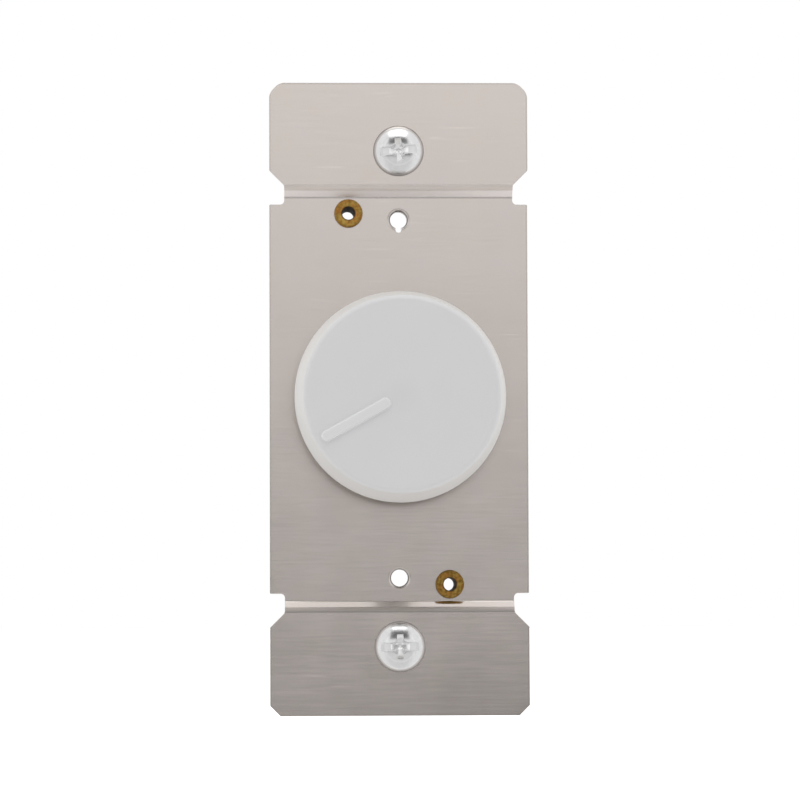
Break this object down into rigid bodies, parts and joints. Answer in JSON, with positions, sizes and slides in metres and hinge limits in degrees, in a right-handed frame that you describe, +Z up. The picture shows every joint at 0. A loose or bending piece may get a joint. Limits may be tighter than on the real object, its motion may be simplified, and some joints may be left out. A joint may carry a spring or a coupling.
{
  "type": "rotary dimmer switch",
  "caption": "Rotary dimmer switch on a pressed metal mounting strap, with a round push-on knob, a moulded rear housing and captive mounting screws.",
  "frame": {"origin": "on the knob's axis, in the wall plane: the front face of the strap's plate, level with the backs of its ears", "axes": "+X right as seen from the room, +Y into the wall along the knob's axis, +Z up along the strap"},
  "size_m": [0.0434, 0.043, 0.1064],
  "materials": {
    "strap_aluminium": "fine brushed, cut edges brighter",
    "knob_white": "satin moulded",
    "screw_zinc": "bright zinc plated",
    "eyelet_brass": "rolled, slightly darkened",
    "housing_black": "moulded, fine grain",
    "washer_fibre": "vulcanised fibre",
    "bushing_metal": "turned",
    "shaft_metal": "turned",
    "spring_steel": "hardened strip",
    "pot_steel": "tin plated",
    "wafer_phenolic": "punched laminate",
    "track_carbon": "printed",
    "contact_bronze": "stamped strip",
    "carrier_nylon": "moulded",
    "board_laminate": "laminate",
    "triac_package": "moulded on a tinned tab",
    "insulator_film": "film",
    "choke_ferrite": "painted powder core",
    "choke_wire": "enamelled",
    "capacitor_case": "moulded box",
    "timing_case": "dipped film",
    "resistor_body": "lacquered",
    "diac_glass": "glass bead"
  },
  "bodies": {
    "strap_assembly": {"mounting_strap": "strap_aluminium", "rear_housing": "housing_black", "upper_eyelet": "eyelet_brass", "lower_eyelet": "eyelet_brass", "upper_retaining_washer": "washer_fibre", "lower_retaining_washer": "washer_fibre", "shaft_bushing": "bushing_metal", "potentiometer_case": "pot_steel", "potentiometer_wafer": "wafer_phenolic", "resistance_track": "track_carbon", "left_potentiometer_terminal": "contact_bronze", "middle_potentiometer_terminal": "contact_bronze", "right_potentiometer_terminal": "contact_bronze", "switch_base": "wafer_phenolic", "switch_blade": "contact_bronze", "switch_fixed_contact": "contact_bronze", "circuit_board": "board_laminate", "triac": "triac_package", "triac_insulator": "insulator_film", "triac_rivet": "screw_zinc", "choke_core": "choke_ferrite", "choke_winding": "choke_wire", "noise_capacitor": "capacitor_case", "timing_capacitor": "timing_case", "diac": "diac_glass", "timing_resistor": "resistor_body", "trim_resistor": "resistor_body"},
    "knob_assembly": {"knob": "knob_white", "knob_spring_clip": "spring_steel", "control_shaft": "shaft_metal", "shaft_retaining_ring": "spring_steel", "wiper_carrier": "carrier_nylon", "wiper_contact": "contact_bronze", "switch_cam": "carrier_nylon"},
    "upper_screw": {"upper_mounting_screw": "screw_zinc"},
    "lower_screw": {"lower_mounting_screw": "screw_zinc"}
  },
  "joints": [
    {"name": "knob_turn", "type": "hinge", "parent": "strap_assembly", "child": "knob_assembly", "pos_m": [0, 0, 0], "axis": [0, 1, 0], "range_deg": [0, 240]},
    {"name": "upper_screw_turn", "type": "hinge", "parent": "strap_assembly", "child": "upper_screw", "pos_m": [0, 0, 0.04167], "axis": [0, 1, 0], "continuous": true},
    {"name": "lower_screw_turn", "type": "hinge", "parent": "strap_assembly", "child": "lower_screw", "pos_m": [0, 0, -0.04167], "axis": [0, 1, 0], "continuous": true}
  ]
}
